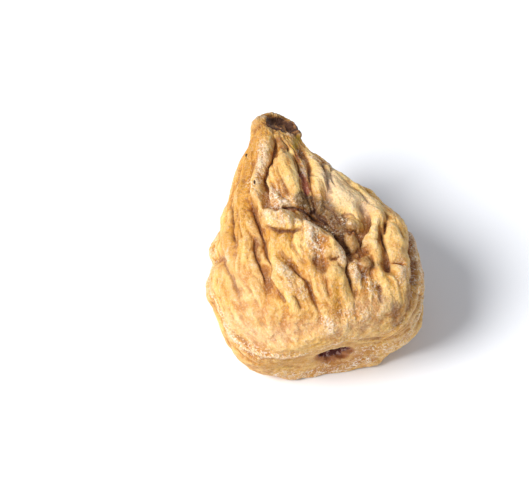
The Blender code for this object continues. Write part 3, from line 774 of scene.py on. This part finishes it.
where = start.node("ShaderNodeTexCoord", {}, {}, "Object")
skin_grain = start.node("ShaderNodeAttribute", {"attribute_name": "grain"}, {}, "Vector")
along_grain = start.node(
    "ShaderNodeVectorMath", {"operation": "MULTIPLY"}, {0: skin_grain, 1: (1, 1, 1 / GRAIN_STRETCH)}
)
broad = mottle(where, BROAD)
patchy = mottle(where, PATCHY, 3.0)
netted = mottle(where, NETTED)
fine = mottle(where, FINE, 3.0)
speck = mottle(where, SPECK, 1.0)
grainy = mottle(where, GRAINY)
streaky = mottle(along_grain, STREAKY, 3.0)
winding_lines = 1 - start.math("ABSOLUTE", netted - 0.5, 0.0).step(0.0, LINE_WIDTH)

# What more than one coat of colour reads.
dip = mark("dip")
fold = mark("fold")
valley = mark("valley")
unshaded = 1 - mark("shaded")
not_ochre = 1 - mark("ochre") * 0.8
net = mark("net").step(0.1, 0.8) * unshaded
dusty = 0.15 + mark("bloom") * 0.65

# Bloom lies where the photograph shows it and on the crests, in patches of grains. Little of it is left in
# dips, creases, the brown dabs and the dark pit, where shade is partly painted.
CREST_BLOOM = 0.3
BLOOM_PATCHES = 1.6
BLOOM_GRAINS = 2.4
DIPS_BARE = 2.0
PIT_STAIN_AND_SHADE_BARE = 0.9
BLOOM_FROM = 0.45
BLOOM_RISE = 0.9
crests = (0 - valley).step(0.0, 0.5) * 0.5 + (0 - fold).step(0.0, 0.2) * 0.6
patches = (patchy - 0.5) * BLOOM_PATCHES + (fine - 0.5) * BLOOM_PATCHES + (grainy - 0.5) * BLOOM_GRAINS
bloom = mark("bloom") + crests * CREST_BLOOM + patches - dip * DIPS_BARE - BLOOM_FROM
bloom = bloom.step(0.0, BLOOM_RISE) * unshaded * (1 - mark("brown"))
bloom = bloom * (1 - mark("pit_stain_and_shade").step(0.2, 0.8) * PIT_STAIN_AND_SHADE_BARE)

# Dark specks over the pit's olive-brown: partly its own colour, partly painted shade.
pit_colour = mixed(fine.step(0.42, 0.58), DARK, PIT_STAIN_AND_SHADE_COLOUR)
scar_colour = mixed((mark("fibre") + (fine - 0.5) * 1.2).step(0.55, 1.05), SCAR_DARK, SCAR_LIGHT)

# The coats of colour over the ground, from the first to the last: how much of each shows, and its colour.
COATS = (
    (streaky.step(0.46, 0.64) * 0.45, CREAM),
    ((1 - streaky).step(0.5, 0.66) * 0.4, AMBER),
    (scattered("ochre", patchy) * 0.85, OCHRE),
    # Pale dabs: partly the skin's paler colour, partly painted light.
    (scattered("pale", patchy) * 0.8, CREAM),
    # Lighter on the crests of folds: a painted highlight.
    ((0 - fold).step(0.0, 0.2) * 0.35 * not_ochre, CREAM),
    # Browner in folds and valleys: partly the skin's own colour, partly painted shade.
    (fold.step(0.0, 0.15) * 0.5, AMBER),
    (valley.step(0.0, 0.6) * 0.7, BROWN),
    # Brown dabs: partly the skin's own brown, partly painted shade.
    (scattered("brown", patchy) * 0.75, BROWN),
    # Lighter on small crests, a painted highlight, and browner in dips, partly painted shade.
    ((0 - dip).step(0.0, 0.08) * 0.2 * not_ochre, CREAM),
    (dip.step(0.0, 0.1) * 0.35, BROWN),
    # The pit and its valley darkened: their own colour and painted shade.
    (scattered("pit_stain_and_shade", patchy) * 0.85, pit_colour),
    # Painted brown shade round the creases, and a painted dark line of shade in them.
    (mark("shaded").step(0.1, 0.9) * 0.6, BROWN),
    (mark("creased").step(0.2, 0.8) * 0.85, DARK),
    (scattered("red", fine) * 0.85, RED),
    # Haze of sugar, which on the shoulder also paints light.
    (mark("haze").step(0.0, 1.0) * (0.35 + patchy * 0.5), BLOOM),
    (bloom * 0.7, BLOOM),
    ((1 - netted).step(0.48, 0.6) * net * 0.45, AMBER),
    ((1 - speck).step(0.56, 0.68) * dusty * 0.7, BROWN),
    (speck.step(0.56, 0.66) * dusty * unshaded, SUGAR),
    (winding_lines * (net * 0.8 + 0.08), SUGAR),
    (scattered("scar_rim", fine) * 0.4, BROWN),
    (scattered("eye_edge", fine) * 0.75, EYE_EDGE),
    (mark("eye_ring") * 0.35, EYE_SKIN),
    # The eye's dark: its own dark red and painted shade in its hollow.
    (scattered("eye", fine), EYE_DARK),
    (fine.step(0.5, 0.62) * mark("eye") * 0.85, EYE_SCALE),
    (scattered("olive", fine), OLIVE),
    # Dark pores, and painted shade in the pit's core.
    (mark("pore_and_pit_shade").step(0.2, 0.7), DARK),
    (scattered("scar", fine), scar_colour),
)
colour = mixed(broad.step(0.35, 0.65), GOLD, HONEY)
for share, coat in COATS:
    colour = mixed(share, colour, coat)
finish.node_tree.links.new(colour.socket, shader.inputs["Base Color"])

# The bare skin has a dull gloss that the bloom takes away. Its finest relief is grains, which stand higher
# in the bloom, a mottle, and streaks along the grain.
ROUGHNESS = 0.5
BLOOM_ROUGHER = 0.3
GRAINS_HIGH = 0.3
BLOOM_HIGHER = 0.4
STREAKS_HIGH = 0.8
BUMP_STRENGTH = 0.8
BUMP_HEIGHT = 0.0005
roughness = ROUGHNESS + bloom * BLOOM_ROUGHER
finish.node_tree.links.new(roughness.socket, shader.inputs["Roughness"])
relief = (grainy - 0.5) * (GRAINS_HIGH + bloom * BLOOM_HIGHER) + fine + streaky * STREAKS_HIGH
bumped = start.node(
    "ShaderNodeBump", {}, {"Strength": BUMP_STRENGTH, "Distance": BUMP_HEIGHT, "Height": relief}
)
finish.node_tree.links.new(bumped.socket, shader.inputs["Normal"])

# Light goes a short way into the flesh, where the red part of it goes furthest.
FLESH_GLOW = {
    "Subsurface Weight": 0.2,
    "Subsurface Radius": (1.0, 0.5, 0.2),
    "Subsurface Scale": 0.0008,
    "Specular IOR Level": 0.3,
}
for name, value in FLESH_GLOW.items():
    shader.inputs[name].default_value = value

skin.materials.clear()
skin.materials.append(finish)
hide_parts("dried_fig")
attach(fig, "root")


# The surface under it, and the light
# A wide white sheet, lit by one large soft lamp high on the left and a little from the front, and by a pale
# sky all round.
FLOOR_SIZE = 12.0
FLOOR_WHITE = (0.93, 0.94, 0.97, 1)
FLOOR_ROUGHNESS = 0.9
floor_mesh = bmesh.new()
bmesh.ops.create_grid(floor_mesh, x_segments=1, y_segments=1, size=FLOOR_SIZE / 2)
floor_data = bpy.data.meshes.new("floor")
floor_mesh.to_mesh(floor_data)
floor_mesh.free()
floor = bpy.data.objects.new("floor", floor_data)
bpy.context.scene.collection.objects.link(floor)
white = bpy.data.materials.new("floor")
white.use_nodes = True
white.node_tree.nodes["Principled BSDF"].inputs["Base Color"].default_value = FLOOR_WHITE
white.node_tree.nodes["Principled BSDF"].inputs["Roughness"].default_value = FLOOR_ROUGHNESS
floor_data.materials.append(white)

KEY_FROM = Vector((-0.74, -0.16, 0.74))
KEY_DISTANCE = 3.0
KEY_SIZE = 1.4
KEY_POWER = 108.0
key_data = bpy.data.lights.new("key", "AREA")
key_data.shape = "DISK"
key_data.size = KEY_SIZE
key_data.energy = KEY_POWER
key = bpy.data.objects.new("key", key_data)
key.location = KEY_FROM.normalized() * KEY_DISTANCE
key.rotation_euler = KEY_FROM.to_track_quat("Z", "Y").to_euler()
bpy.context.scene.collection.objects.link(key)

SKY_COLOUR = (0.90, 0.94, 1.0, 1)
SKY_STRENGTH = 0.45
world = bpy.data.worlds.new("sky")
bpy.context.scene.world = world
world.use_nodes = True
world.node_tree.nodes["Background"].inputs["Color"].default_value = SKY_COLOUR
world.node_tree.nodes["Background"].inputs["Strength"].default_value = SKY_STRENGTH
bpy.context.scene.view_settings.view_transform = "Standard"
